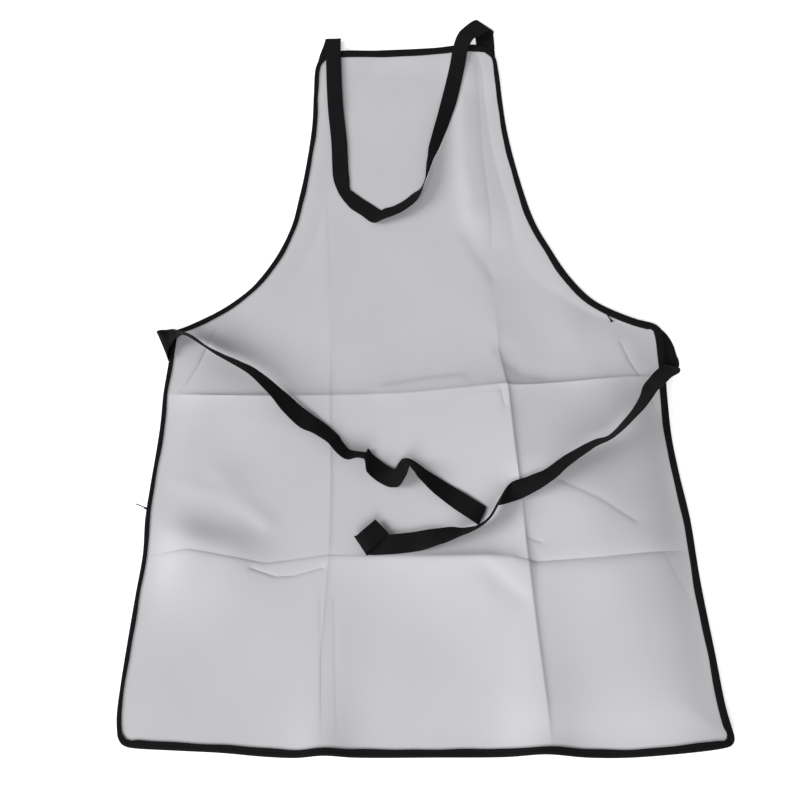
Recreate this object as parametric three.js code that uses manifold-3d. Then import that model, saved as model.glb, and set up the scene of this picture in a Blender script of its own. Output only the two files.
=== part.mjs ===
import * as THREE from "three";
import Module from "manifold-3d";
import { mergeVertices } from "three/addons/utils/BufferGeometryUtils.js";

// A bib apron laid out flat, face up. Millimetres: x runs across it, y up it from the waist fold, z up.
const CLOTH = 1.2; // thickness of the coated cloth
const TAPE = 1.0; // thickness of one layer of binding tape
const WEBBING = 1.2; // thickness of the straps
const STRAP_WIDTH = 21;
const GAP = 0.4; // clear space between neighbouring pieces

const HEM_TAPE = 8; // width of tape that shows along each edge
const SIDE_TAPE = 7.5;
const ARMHOLE_TAPE = 8.5;
const TOP_TAPE = 11;
const TAPE_STEP = 9.7; // length of one facet of tape
const STRAP_STEPS = 3; // facets between two rows of a strap's table
const MOST_LEAN = 0.7; // a line across a strap is stretched to at most 1 / this where it slants
const RESTS_AT = [-1, -0.5, 0, 0.5, 1]; // places across a strap that can touch what it lies on
const STRAP_SECTION = [[-1, -1], [1, -1], [1, 1], [-1, 1]]; // half widths across, half thicknesses out
const TAPE_MARGIN = 3; // a strap is raised onto a tape from this far off it

const EDGE_FLAT = 13; // the cloth lies level this far in from its edge
const EDGE_RUN = 34; // then comes down from the tape's thickness to the table over this length
const EDGE_FADE = 30; // the folds die out over this length towards the edge

// The height of the cloth where the folds cross and where they reach the edges, from left to right.
const FOLD_HEIGHTS = { hem: [1.7, 1.7, 1.7, 1.7], skirt: [2.5, 6, 18, 2], waist: [7, 5, 6, 3] };
const FOLDS_REACH = { hem: -372, left: -276, right: 314 }; // where the folds reach the edges
const ROLL_RUN = { above: 14, below: 36 }; // lengths over which the roll of the skirt fold dies out
const BIB_FOLD = { rise: 1.4, run: 36, from: 0, to: 90 }; // low swelling along the folds in the bib
const HEM_FADE = 60; // the lift of the hem dies out over this length up the cloth
const LEVEL = 0.3; // relief lower than this lies flat on the table

const SHEET = { left: -295, right: 345, low: -392, bibLow: 190, bibHigh: 380, high: 566 };
const FINE = [0, 0.04, 0.1, 0.19, 0.33, 0.5, 0.67, 0.81, 0.9, 0.96, 1];
const COARSE = [0, 0.12, 0.3, 0.5, 0.7, 0.88, 1];
const TOWARDS_END = [0, 0.3, 0.6, 0.8, 0.9, 0.96, 1];
const FOLD_PASSES = 4; // the sheet's lines settle on the folds in this many steps
const CUT = { low: -20, depth: 80 }; // span of height over which the outline is cut
const SAME_POINT = 1e-4; // points closer than this are one
const ON_EDGE = 1e-6; // share of a facet that counts as its edge

// The outer edge of the tape, anticlockwise: each edge starts where the one before it ends.
const HEM = [
  { x: -275.2, y: -367 },
  { x: -260, y: -369.5 },
  { x: -218, y: -371.5 },
  { x: -174, y: -373.5 },
  { x: -130, y: -377 },
  { x: -100, y: -378 },
  { x: -74, y: -376 },
  { x: -45, y: -377.7 },
  { x: 30, y: -377.7 },
  { x: 102, y: -377.2 },
  { x: 140, y: -374.8 },
  { x: 178, y: -377.6 },
  { x: 215, y: -378 },
  { x: 255, y: -375.6 },
  { x: 300, y: -371.7 },
  { x: 323.8, y: -370 },
];
const SIDE_RIGHT = [
  { x: 323.8, y: -370 },
  { x: 320.9, y: -332 },
  { x: 318.8, y: -282 },
  { x: 315, y: -207 },
  { x: 314, y: -142 },
  { x: 309.3, y: -91 },
  { x: 306.8, y: -50 },
  { x: 308.3, y: 0 },
  { x: 310.8, y: 40 },
  { x: 312.6, y: 66 },
  { x: 313, y: 91 },
];
const ARMHOLE_RIGHT = [
  { x: 313, y: 91 },
  { x: 306, y: 98 },
  { x: 283, y: 105.5 },
  { x: 257, y: 118 },
  { x: 233, y: 135 },
  { x: 208.2, y: 168.3 },
  { x: 188.4, y: 208.5 },
  { x: 172.5, y: 246.5 },
  { x: 157.5, y: 311.5 },
  { x: 144.5, y: 397.5 },
  { x: 138, y: 502 },
  { x: 135, y: 527.5 },
  { x: 127, y: 544 },
];
const TOP = [
  { x: 127, y: 544 },
  { x: 110, y: 551.5 },
  { x: 79, y: 551.3 },
  { x: 46, y: 547.3 },
  { x: -27, y: 542.8 },
  { x: -84, y: 540.3 },
  { x: -104, y: 537.6 },
  { x: -112, y: 530.5 },
];
const ARMHOLE_LEFT = [
  { x: -112, y: 530.5 },
  { x: -118.5, y: 509.5 },
  { x: -119.5, y: 463 },
  { x: -119.4, y: 403 },
  { x: -125.5, y: 325 },
  { x: -131.1, y: 283 },
  { x: -137.6, y: 243 },
  { x: -150.6, y: 204 },
  { x: -167.5, y: 171 },
  { x: -185.3, y: 146 },
  { x: -219, y: 116.5 },
  { x: -253, y: 96 },
  { x: -272, y: 87.5 },
];
const SIDE_LEFT = [
  { x: -272, y: 87.5 },
  { x: -271.4, y: 49 },
  { x: -272, y: 1 },
  { x: -271.5, y: -41 },
  { x: -274.4, y: -108.5 },
  { x: -275.4, y: -142.5 },
  { x: -273.3, y: -180.5 },
  { x: -275.6, y: -225.5 },
  { x: -278.8, y: -311 },
  { x: -279, y: -345.5 },
  { x: -275.2, y: -367 },
];

// The two folds down the length: the x of each at a height y.
const LENGTH_FOLDS = [
  { y: -392, left: -75, right: 152 },
  { y: -290, left: -80, right: 144 },
  { y: -180, left: -74, right: 135 },
  { y: -96, left: -75, right: 131 },
  { y: 5, left: -80, right: 127 },
  { y: 60, left: -82, right: 120 },
  { y: 160, left: -85, right: 119 },
  { y: 250, left: -91, right: 122 },
  { y: 360, left: -104, right: 115 },
  { y: 575, left: -124, right: 113 },
];
// The two folds across: the y of each at a place x, the length over which the cloth above the waist
// fold comes down to the table, and how far the skirt fold stands above the panels beside it.
const CROSS_FOLDS = [
  { x: -295, waist: 5, skirt: -184, run: 70, roll: 1 },
  { x: -222, waist: 0, skirt: -177, run: 66, roll: 1 },
  { x: -142, waist: 0, skirt: -191, run: 44, roll: 1 },
  { x: -75, waist: 2, skirt: -182, run: 24, roll: 1 },
  { x: 0, waist: 3, skirt: -185, run: 22, roll: 4 },
  { x: 90, waist: 10, skirt: -186, run: 22, roll: 6 },
  { x: 116, waist: 12, skirt: -187, run: 22, roll: 4 },
  { x: 141, waist: 11, skirt: -192, run: 22, roll: 0 },
  { x: 210, waist: 17, skirt: -184, run: 40, roll: 1 },
  { x: 305, waist: 28, skirt: -176, run: 62, roll: 1 },
  { x: 345, waist: 32, skirt: -174, run: 66, roll: 1 },
];
// Where the hem is held up beside the folds, and the length over which that dies out along it.
const HEM_LIFTS = [
  { x: -74, rise: 5, run: 25 },
  { x: 139, rise: 6, run: 30 },
];
// Soft wrinkles along a line, with their reach to the left and to the right of it.
const SOFT_WRINKLES = [
  { line: [[-262, -136], [-205, -147], [-152, -155]], rise: -7, left: 80, right: 9 },
  { line: [[-262, -98], [-208, -117], [-152, -143]], rise: 1.2, left: 24, right: 6 },
  { line: [[165, -106], [212, -128], [262, -158]], rise: 3.5, left: 50, right: 26 },
  { line: [[162, -60], [164, -190], [178, -290]], rise: 7, left: 50, right: 110 },
  { line: [[248, -225], [264, -330]], rise: 8, left: 42, right: 60 },
  { line: [[255, -50], [262, -165]], rise: 7.6, left: 36, right: 60 },
  { line: [[91, 490], [96, 345], [103, 275]], rise: 3.2, left: 80, right: 13 },
  { line: [[-262, 2], [-215, -2], [-165, -2]], rise: 5, left: 58, right: 130 },
  { line: [[-16, 12], [23, 19], [66, 24]], rise: 1.1, left: 4.5, right: 14 },
  { line: [[90, -199], [105, -213], [122, -227]], rise: -1.3, left: 9, right: 12 },
  { line: [[-200, -50], [-170, -70]], rise: -2.5, left: 34, right: 34 },
];
// Where a strap is sewn on underneath, the edge is raised by its thickness.
const SEWN_ENDS = [
  { x: -103, y: 518, reach: 30 },
  { x: 124, y: 523, reach: 30 },
  { x: -252, y: 58, reach: 38 },
  { x: 298, y: 82, reach: 34 },
];
const SEWN_RUN = 45;

// The straps, row by row: the middle line's x and y, how far it is lifted off what it lies on, the
// direction and tilt of the line across it in degrees, how far that line is drawn out where the strap
// folds at a slant, and whether it is under the cloth.
const NECK_STRAP = [
  { x: -108, y: 500, lift: 0, across: -8, tilt: 0, under: true },
  { x: -104, y: 532, lift: 0.2, across: -8, tilt: 0, under: true },
  { x: -98.5, y: 553, lift: 0.6, across: -4, tilt: 0, under: true },
  { x: -95.5, y: 562, lift: 4.4, across: 2, tilt: 0 },
  { x: -95, y: 555, lift: 7.6, across: 2, tilt: 0 },
  { x: -94.5, y: 538, lift: 1.2, across: 0, tilt: 0 },
  { x: -93.5, y: 515, lift: 1.5, across: 0, tilt: 0 },
  { x: -88.5, y: 437, lift: 0.6, across: 0, tilt: 0 },
  { x: -81.5, y: 375, lift: 0.4, across: 0, tilt: 0 },
  { x: -77.5, y: 318, lift: 0.4, across: -5, tilt: 0 },
  { x: -71, y: 293, lift: 0.8, across: 24, tilt: 0 },
  { x: -58.3, y: 277, lift: 0.4, across: 58, tilt: 0 },
  { x: -42.3, y: 264.5, lift: 0.4, across: 62, tilt: 0 },
  { x: -28, y: 255.2, lift: 0.4, across: 76, tilt: -10 },
  { x: -15, y: 255.5, lift: 0.4, across: 98, tilt: -24 },
  { x: -0.6, y: 264, lift: 0.4, across: 110, tilt: -27 },
  { x: 17.5, y: 280.4, lift: 0.4, across: 116, tilt: -42 },
  { x: 30.3, y: 300.6, lift: 0.4, across: 112, tilt: -63 },
  { x: 39.2, y: 340, lift: 0.4, across: 124, tilt: -52 },
  { x: 46.3, y: 366, lift: 0.4, across: 140, tilt: -41 },
  { x: 57.8, y: 407, lift: 0.4, across: 155, tilt: -27 },
  { x: 68.2, y: 448.5, lift: 0.4, across: 170, tilt: -10 },
  { x: 80.8, y: 510, lift: 1, across: 178, tilt: 0 },
  { x: 85.3, y: 538, lift: 3, across: 172, tilt: 0 },
  { x: 92.8, y: 557.8, lift: 7, across: 150, tilt: 0, slant: 1.1 },
  { x: 105, y: 572.5, lift: 10, across: 136, tilt: 0, slant: 1.3 },
  { x: 119, y: 584, lift: 9, across: 136, tilt: 0, slant: 1.35 },
  { x: 123, y: 587, lift: 5.2, across: 136, tilt: 0, slant: 1.32 },
  { x: 122, y: 579.5, lift: 1.2, across: 142, tilt: 0, slant: 1.3, under: true },
  { x: 121.8, y: 561, lift: 0.4, across: 168, tilt: 0, slant: 1.25, under: true },
  { x: 123.5, y: 540, lift: 0.1, across: 180, tilt: 0, slant: 1.1, under: true },
  { x: 125, y: 504, lift: 0, across: 180, tilt: 0, under: true },
];
const WAIST_TIE_LEFT = [
  { x: -235, y: 41, lift: 0, across: -121, tilt: 0, under: true },
  { x: -256, y: 53.5, lift: 0.2, across: -116, tilt: 0, under: true },
  { x: -271, y: 61.5, lift: 0.4, across: -90, tilt: 0, slant: 1.1, under: true },
  { x: -279.5, y: 66, lift: 3.5, across: -64, tilt: 0, slant: 1.34 },
  { x: -277.5, y: 72.5, lift: 6.5, across: -46, tilt: 6, slant: 1.28 },
  { x: -267.5, y: 78, lift: 3, across: -54, tilt: 36 },
  { x: -251, y: 76.5, lift: 2.5, across: -80, tilt: 58 },
  { x: -226.5, y: 58.8, lift: 5, across: -80, tilt: 64 },
  { x: -206.6, y: 46, lift: 7, across: -85, tilt: 58 },
  { x: -187.5, y: 36, lift: 8, across: -97, tilt: 54 },
  { x: -169.5, y: 26, lift: 8, across: -106, tilt: 49 },
  { x: -143.6, y: 3, lift: 6, across: -113, tilt: 39 },
  { x: -125, y: -16, lift: 3, across: -120, tilt: 20 },
  { x: -107.5, y: -30.5, lift: 1, across: -114, tilt: 6 },
  { x: -91.5, y: -40.5, lift: 0.6, across: -110, tilt: 26 },
  { x: -74.5, y: -54, lift: 0.4, across: -112, tilt: 36 },
  { x: -65.5, y: -66, lift: 0.4, across: -106, tilt: 40 },
  { x: -56.5, y: -73.5, lift: 0.4, across: -98, tilt: 42 },
  { x: -46, y: -73.6, lift: 0.4, across: -90, tilt: 54 },
  { x: -36.5, y: -75.4, lift: 0.4, across: -90, tilt: 55 },
  { x: -29, y: -84, lift: 0.6, across: -98, tilt: 12 },
  { x: -16, y: -95, lift: 0.4, across: -102, tilt: 0 },
  { x: -5, y: -99.5, lift: 0.8, across: -93, tilt: 6 },
  { x: 3, y: -91, lift: 1.5, across: -76, tilt: 30 },
  { x: 8, y: -83.5, lift: 2, across: -72, tilt: 48 },
  { x: 15, y: -87.5, lift: 1.5, across: -98, tilt: 48 },
  { x: 24, y: -96.5, lift: 0.6, across: -108, tilt: 40 },
  { x: 42.6, y: -111.8, lift: 0.4, across: -115, tilt: 22 },
  { x: 66.5, y: -129, lift: 0.4, across: -119, tilt: 4 },
  { x: 87.5, y: -143.8, lift: 0.4, across: -113, tilt: 0 },
];
const WAIST_TIE_RIGHT = [
  { x: 290, y: 86.5, lift: 0, across: 60, tilt: 0, under: true },
  { x: 306.5, y: 81.5, lift: 0, across: 40, tilt: 0, under: true },
  { x: 313.4, y: 67.5, lift: 0, across: 12, tilt: 0, under: true },
  { x: 315.4, y: 54.5, lift: 0.2, across: 4, tilt: 0, under: true },
  { x: 319.6, y: 45, lift: 0.6, across: 0, tilt: 0, slant: 0.7, under: true },
  { x: 319.3, y: 38.5, lift: 3, across: -12, tilt: 0, slant: 0.66 },
  { x: 313.8, y: 33, lift: 4.5, across: -32, tilt: 10, slant: 0.92 },
  { x: 302.7, y: 24.8, lift: 4, across: -42, tilt: 30 },
  { x: 290.5, y: 11.8, lift: 7, across: -50, tilt: 36 },
  { x: 280.3, y: 1, lift: 9.5, across: -66, tilt: 42 },
  { x: 267.6, y: -19.4, lift: 14, across: -82, tilt: 51 },
  { x: 249.5, y: -41, lift: 18, across: -96, tilt: 56 },
  { x: 225, y: -64, lift: 19, across: -106, tilt: 60 },
  { x: 209.8, y: -69.8, lift: 18, across: -100, tilt: 54 },
  { x: 193.7, y: -78.8, lift: 15, across: -90, tilt: 50 },
  { x: 175.3, y: -90.3, lift: 11, across: -80, tilt: 46 },
  { x: 158.8, y: -103.2, lift: 6, across: -75, tilt: 40 },
  { x: 140.8, y: -112.2, lift: 2, across: -74, tilt: 24 },
  { x: 125, y: -118, lift: 0.4, across: -78, tilt: 4 },
  { x: 113, y: -121, lift: 1, across: -100, tilt: 16 },
  { x: 103.5, y: -133, lift: 2.6, across: -98, tilt: 69 },
  { x: 93.5, y: -149, lift: 3, across: -100, tilt: 73 },
  { x: 81, y: -158, lift: 2, across: -100, tilt: 69 },
  { x: 67.5, y: -161.8, lift: 0.6, across: -106, tilt: 57 },
  { x: 46.5, y: -165, lift: 0.4, across: -102, tilt: 28 },
  { x: 20, y: -169.5, lift: 0.4, across: -99, tilt: 2 },
  { x: -8, y: -172.5, lift: 0.4, across: -95, tilt: 0 },
  { x: -35, y: -173.5, lift: 0.6, across: -62, tilt: 0 },
  { x: -41.5, y: -174, lift: 3, across: -56, tilt: 0 },
  { x: -36.5, y: -169.5, lift: 5.6, across: -54, tilt: 0 },
  { x: -19, y: -153.5, lift: 4.4, across: -47, tilt: 0 },
];

const GREY_CLOTH = { color: 0xc5c4c9, roughness: 0.6, metalness: 0 };
const BLACK_TAPE = { color: 0x1a1a1c, roughness: 0.85, metalness: 0 };

const wasm = await Module();
wasm.setup();
const radians = THREE.MathUtils.degToRad;
const smooth = THREE.MathUtils.smoothstep;

// The value of one column of a table at a place between its rows.
function lookUp(rows, key, column, at) {
  const next = rows.findIndex((row) => row[key] >= at);
  if (next < 1) {
    return (next === 0 ? rows[0] : rows.at(-1))[column];
  }
  const before = rows[next - 1];
  const after = rows[next];
  const share = (at - before[key]) / (after[key] - before[key]);
  return THREE.MathUtils.lerp(before[column], after[column], share);
}

// An edge as a smooth curve with its tape's width.
function makeEdge(rows, tape) {
  const points = rows.map((row) => new THREE.Vector3(row.x, row.y, 0));
  const curve = new THREE.CatmullRomCurve3(points, false, "centripetal");
  return { curve, tape, steps: Math.round(curve.getLength() / TAPE_STEP) };
}

const edges = {
  binding_hem: makeEdge(HEM, HEM_TAPE),
  binding_side_right: makeEdge(SIDE_RIGHT, SIDE_TAPE),
  binding_armhole_right: makeEdge(ARMHOLE_RIGHT, ARMHOLE_TAPE),
  binding_top: makeEdge(TOP, TOP_TAPE),
  binding_armhole_left: makeEdge(ARMHOLE_LEFT, ARMHOLE_TAPE),
  binding_side_left: makeEdge(SIDE_LEFT, SIDE_TAPE),
};
const loop = Object.values(edges);

// The line across two tapes where they meet, pointing into the cloth, long enough to be 1 deep.
function cornerLine(before, after) {
  const back = before.curve.getTangentAt(1).negate();
  const ahead = after.curve.getTangentAt(0);
  const line = back.clone().add(ahead).normalize();
  const lean = line.angleTo(ahead);
  return line.divideScalar(Math.sin(lean));
}

// Points along an edge, each with the line that leads 1 into the cloth and its way along the tape.
function stations(edge) {
  const index = loop.indexOf(edge);
  const before = loop.at(index - 1);
  const after = loop[(index + 1) % loop.length];
  return Array.from({ length: edge.steps + 1 }, (_, step) => {
    const share = step / edge.steps;
    const along = edge.curve.getTangentAt(share);
    let inward = new THREE.Vector3(-along.y, along.x, 0);
    if (step === 0) {
      inward = cornerLine(before, edge);
    } else if (step === edge.steps) {
      inward = cornerLine(edge, after);
    }
    return { point: edge.curve.getPointAt(share), inward, along, step };
  });
}

const outline = loop.flatMap((edge) =>
  stations(edge).slice(0, -1).map((station) => ({ ...station, tape: edge.tape })),
);

// How far a place is inside the outer edge, or below 0 outside it, and how wide the nearest tape is.
function edgeAt(x, y) {
  let nearest = Infinity;
  let tape = 0;
  let inside = false;
  outline.forEach((from, index) => {
    const a = from.point;
    const b = outline[(index + 1) % outline.length].point;
    const run = THREE.MathUtils.clamp(
      ((x - a.x) * (b.x - a.x) + (y - a.y) * (b.y - a.y)) / a.distanceToSquared(b), 0, 1,
    );
    const distance = Math.hypot(x - a.x - run * (b.x - a.x), y - a.y - run * (b.y - a.y));
    if (distance < nearest) {
      nearest = distance;
      tape = from.tape;
    }
    if (a.y > y !== b.y > y && x < a.x + ((y - a.y) / (b.y - a.y)) * (b.x - a.x)) {
      inside = !inside;
    }
  });
  return { inset: inside ? nearest : -nearest, tape };
}

// The places of the four folds at x and y.
function foldsAt(x, y) {
  const [left, right] = ["left", "right"].map((fold) => lookUp(LENGTH_FOLDS, "y", fold, y));
  const [waist, skirt] = ["waist", "skirt"].map((fold) => lookUp(CROSS_FOLDS, "x", fold, x));
  return { left, right, waist, skirt };
}

const between = (value, low, high) => THREE.MathUtils.clamp((value - low) / (high - low), 0, 1);

// The height at a place between the left edge, the two folds and the right edge.
function heightAt(heights, third) {
  const from = Math.min(Math.floor(third), heights.length - 2);
  return THREE.MathUtils.lerp(heights[from], heights[from + 1], third - from);
}

// The height of the cloth as flat panels between its folds.
function panelLevel(x, y) {
  const { left, right, waist, skirt } = foldsAt(x, y);
  const { hem: low, left: start, right: end } = FOLDS_REACH;
  const third = between(x, start, left) + between(x, left, right) + between(x, right, end);
  const [hem, middle, top] = [FOLD_HEIGHTS.hem, FOLD_HEIGHTS.skirt, FOLD_HEIGHTS.waist].map((heights) =>
    heightAt(heights, third));
  const rise = hem + (middle - hem) * between(y, low, skirt) + (top - middle) * between(y, skirt, waist);
  const lift = HEM_LIFTS.reduce((sum, row) => sum + row.rise * Math.exp(-(((x - row.x) / row.run) ** 2)), 0);
  const level = rise * Math.exp(-Math.max(0, y - waist) / lookUp(CROSS_FOLDS, "x", "run", x));
  return level + lift * Math.exp(-Math.max(0, y - low) / HEM_FADE);
}

// The rise of a soft wrinkle, whose reach passes from one side to the other round its ends.
function wrinkle({ line, rise, left, right }, x, y) {
  let nearest = Infinity;
  let side = 0;
  line.slice(1).forEach(([bx, by], index) => {
    const [ax, ay] = line[index];
    const length = Math.hypot(bx - ax, by - ay);
    const run = THREE.MathUtils.clamp(((x - ax) * (bx - ax) + (y - ay) * (by - ay)) / length ** 2, 0, 1);
    const away = Math.hypot(x - ax - run * (bx - ax), y - ay - run * (by - ay));
    if (away < nearest) {
      nearest = away;
      side = ((bx - ax) * (y - ay) - (by - ay) * (x - ax)) / (length * Math.max(away, SAME_POINT));
    }
  });
  const reach = THREE.MathUtils.lerp(right, left, (1 + side) / 2);
  return rise * Math.exp(-((nearest / reach) ** 2));
}

// The rise of rounded folds and wrinkles over the flat panels.
function wrinkleRise(x, y) {
  const { left, right, skirt } = foldsAt(x, y);
  const run = y > skirt ? ROLL_RUN.above : ROLL_RUN.below;
  const roll = lookUp(CROSS_FOLDS, "x", "roll", x) * Math.exp(-Math.abs(y - skirt) / run);
  const nearest = Math.min(Math.abs(x - left), Math.abs(x - right));
  const swelling = BIB_FOLD.rise * Math.exp(-nearest / BIB_FOLD.run) * smooth(y, BIB_FOLD.from, BIB_FOLD.to);
  return SOFT_WRINKLES.reduce((sum, row) => sum + wrinkle(row, x, y), roll + swelling);
}

// The height of the cloth's underside.
function underside(x, y) {
  const inset = Math.max(0, edgeAt(x, y).inset);
  const edge = (TAPE + GAP) * (1 - smooth(inset, EDGE_FLAT, EDGE_FLAT + EDGE_RUN));
  const sewn = SEWN_ENDS.reduce((most, end) => {
    const away = Math.hypot(x - end.x, y - end.y);
    return Math.max(most, 1 - smooth(away, end.reach, end.reach + SEWN_RUN));
  }, 0);
  const free = 1 - Math.exp(-((inset / EDGE_FADE) ** 2));
  const rise = panelLevel(x, y) + wrinkleRise(x, y) * free - LEVEL;
  return Math.max(edge, rise) + sewn * (WEBBING + GAP);
}

// The lines of points on the sheet follow the folds.
function bandPoint(lines, band, share) {
  return THREE.MathUtils.lerp(lines[band], lines[band + 1], share);
}

function sheetLines(bands) {
  return bands.flatMap((shares, band) =>
    shares.slice(band ? 1 : 0).map((share) => ({ band, share })),
  );
}

const columns = sheetLines([FINE, FINE, FINE]);
const rows = sheetLines([FINE, FINE, COARSE, COARSE, TOWARDS_END]);

function sheetPoint(column, row) {
  let x = 0;
  let y = 0;
  for (let pass = 0; pass < FOLD_PASSES; pass += 1) {
    const { left, right, waist, skirt } = foldsAt(x, y);
    x = bandPoint([SHEET.left, left, right, SHEET.right], column.band, column.share);
    y = bandPoint([SHEET.low, skirt, waist, SHEET.bibLow, SHEET.bibHigh, SHEET.high], row.band, row.share);
  }
  return new THREE.Vector3(x, y, underside(x, y));
}

const sheet = rows.map((row) => columns.map((column) => sheetPoint(column, row)));

// The height of the sheet's facets at a place.
const facets = [];
for (let row = 1; row < rows.length; row += 1) {
  for (let column = 1; column < columns.length; column += 1) {
    const [a, b] = [sheet[row - 1][column - 1], sheet[row - 1][column]];
    const [d, c] = [sheet[row][column - 1], sheet[row][column]];
    facets.push([a, b, c], [a, c, d]);
  }
}
const weights = new THREE.Vector3();
const place = new THREE.Vector3();
const flat = [new THREE.Vector3(), new THREE.Vector3(), new THREE.Vector3()];

function sheetHeight(x, y) {
  place.set(x, y, 0);
  for (const facet of facets) {
    const [a, b, c] = facet;
    const near = Math.min(a.x, c.x, b.x) <= x && Math.max(a.x, b.x, c.x) >= x;
    if (near && Math.min(a.y, b.y, c.y) <= y && Math.max(a.y, b.y, c.y) >= y) {
      facet.forEach((corner, index) => flat[index].set(corner.x, corner.y, 0));
      THREE.Triangle.getBarycoord(place, ...flat, weights);
      if (Math.min(weights.x, weights.y, weights.z) >= -ON_EDGE) {
        return weights.x * a.z + weights.y * b.z + weights.z * c.z;
      }
    }
  }
  return underside(x, y);
}

function solidOf(geometry) {
  const bare = geometry.clone();
  bare.deleteAttribute("normal");
  bare.deleteAttribute("uv");
  const merged = mergeVertices(bare, SAME_POINT);
  return new wasm.Manifold(new wasm.Mesh({
    numProp: 3,
    vertProperties: new Float32Array(merged.attributes.position.array),
    triVerts: new Uint32Array(merged.index.array),
  }));
}

function geometryOf(solid) {
  const mesh = solid.getMesh();
  const geometry = new THREE.BufferGeometry();
  geometry.setAttribute("position", new THREE.BufferAttribute(mesh.vertProperties, 3));
  geometry.setIndex(new THREE.BufferAttribute(mesh.triVerts, 1));
  return geometry;
}

// A closed solid through sections of as many points each, the first and last ones capped.
function loft(sections, profile) {
  const count = sections[0].length;
  const index = [];
  for (let s = 1; s < sections.length; s += 1) {
    for (let p = 0; p < count; p += 1) {
      const next = (p + 1) % count;
      const [a, b] = [(s - 1) * count + p, (s - 1) * count + next];
      const [d, c] = [s * count + p, s * count + next];
      index.push(a, b, c, a, c, d);
    }
  }
  const last = (sections.length - 1) * count;
  const cap = profile.map(([across, out]) => new THREE.Vector2(across, out));
  THREE.ShapeUtils.triangulateShape(cap, []).forEach(([a, b, c]) => {
    index.push(a, c, b, last + a, last + b, last + c);
  });
  const geometry = new THREE.BufferGeometry();
  geometry.setFromPoints(sections.flat());
  geometry.setIndex(index);
  return geometry;
}

// The cloth: the folded sheet, cut to the outline inside the tape.
function makePanel() {
  const wide = columns.length;
  const top = rows.length * wide;
  const low = sheet.flat();
  const points = [...low, ...low.map((p) => new THREE.Vector3(p.x, p.y, p.z + CLOTH))];
  const index = [];
  for (let row = 1; row < rows.length; row += 1) {
    for (let column = 1; column < wide; column += 1) {
      const [a, b] = [(row - 1) * wide + column - 1, (row - 1) * wide + column];
      const [d, c] = [row * wide + column - 1, row * wide + column];
      index.push(a, c, b, a, d, c, top + a, top + b, top + c, top + a, top + c, top + d);
    }
  }
  const rim = [];
  for (let column = 0; column < wide; column += 1) {
    rim.push(column);
  }
  for (let row = 1; row < rows.length; row += 1) {
    rim.push(row * wide + wide - 1);
  }
  for (let column = wide - 2; column >= 0; column -= 1) {
    rim.push(top - wide + column);
  }
  for (let row = rows.length - 2; row > 0; row -= 1) {
    rim.push(row * wide);
  }
  rim.forEach((a, at) => {
    const b = rim[(at + 1) % rim.length];
    index.push(a, b, top + b, a, top + b, top + a);
  });
  const slab = new THREE.BufferGeometry().setFromPoints(points).setIndex(index);
  const cut = outline.map(({ point, inward }) => point.clone().addScaledVector(inward, TAPE + GAP));
  const shape = new THREE.Shape(cut.map((point) => new THREE.Vector2(point.x, point.y)));
  const cutter = new THREE.ExtrudeGeometry(shape, { depth: CUT.depth, bevelEnabled: false });
  cutter.translate(0, 0, CUT.low);
  return geometryOf(solidOf(slab).intersect(solidOf(cutter)));
}

// Tape folded round an edge: a channel that is mitred where it meets the next one.
function makeBinding(edge) {
  const under = -GAP;
  const over = CLOTH + GAP;
  const profile = [
    [0, under - TAPE],
    [edge.tape, under - TAPE],
    [edge.tape, under],
    [TAPE, under],
    [TAPE, over],
    [edge.tape, over],
    [edge.tape, over + TAPE],
    [0, over + TAPE],
  ];
  const sections = stations(edge).map(({ point, inward, along, step }) => {
    const start = point.clone();
    if (step === 0) {
      start.addScaledVector(along, GAP);
    } else if (step === edge.steps) {
      start.addScaledVector(along, -GAP);
    }
    return profile.map(([depth, rise]) => {
      const corner = start.clone().addScaledVector(inward, depth);
      return corner.setZ(Math.max(TAPE + GAP, sheetHeight(corner.x, corner.y)) + rise);
    });
  });
  return loft(sections, profile);
}

// The height of what a strap lies on: the cloth, the tape on its edge, or the table.
function support(x, y) {
  const { inset, tape } = edgeAt(x, y);
  if (inset < 0) {
    return 0;
  }
  const onTape = inset < tape + TAPE_MARGIN ? TAPE + GAP : 0;
  return sheetHeight(x, y) + CLOTH + onTape;
}

// The line across a strap at one of its rows, pointing from its first edge to its second.
function acrossLine(row) {
  const level = Math.cos(radians(row.tilt));
  const turn = radians(row.across);
  return new THREE.Vector3(Math.cos(turn) * level, Math.sin(turn) * level, Math.sin(radians(row.tilt)));
}

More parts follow.
